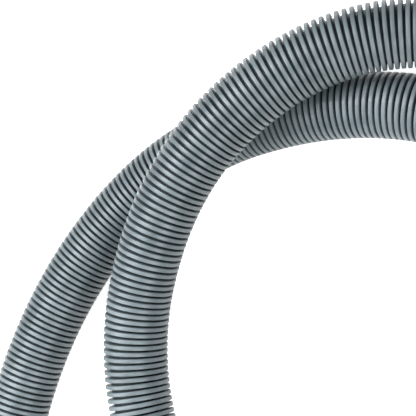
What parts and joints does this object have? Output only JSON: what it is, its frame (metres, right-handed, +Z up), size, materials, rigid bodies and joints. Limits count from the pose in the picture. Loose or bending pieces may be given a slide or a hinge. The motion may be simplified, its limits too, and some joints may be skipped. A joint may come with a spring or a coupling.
{
  "type": "pool vacuum hose",
  "caption": "Loosely coiled ribbed plastic suction hose for pool and spa cleaning, with a swivel cuff on one end and a clipped fixed cuff on the other.",
  "frame": {"origin": "middle of the coil's box, on the floor it lies on", "axes": "+Z up from the floor; +Y along the coil's longer side, away from the two ends, whose mouths point towards -Y"},
  "size_m": [0.6952, 0.7757, 0.1044],
  "materials": {
    "hose": "satin blue-grey moulded plastic",
    "hard_plastic": "satin dark grey",
    "slip_plastic": "natural off-white slip plastic",
    "seal_rubber": "matte black rubber",
    "cuff": "matte soft dark blue-grey",
    "clip_steel": "bright stainless strip"
  },
  "bodies": {
    "hose": {"hose_tube": "hose", "swivel_sleeve": "hard_plastic", "swivel_washer": "slip_plastic", "fixed_insert": "hard_plastic", "fixed_gasket": "seal_rubber", "fixed_cuff": "cuff", "clip_band": "clip_steel", "clip_housing": "clip_steel"},
    "swivel": {"swivel_cuff": "cuff", "swivel_retainer": "hard_plastic", "swivel_seal": "seal_rubber"},
    "screw": {"clip_screw": "clip_steel"}
  },
  "joints": [
    {"name": "swivel_turn", "type": "hinge", "parent": "hose", "child": "swivel", "pos_m": [0.2283, -0.3277, 0.032], "axis": [-0.0971, -0.9953, 0], "continuous": true},
    {"name": "screw_turn", "type": "hinge", "parent": "hose", "child": "screw", "pos_m": [-0.14261, -0.17239, 0.09674], "axis": [0.899, 0.1254, -0.4196], "continuous": true}
  ]
}
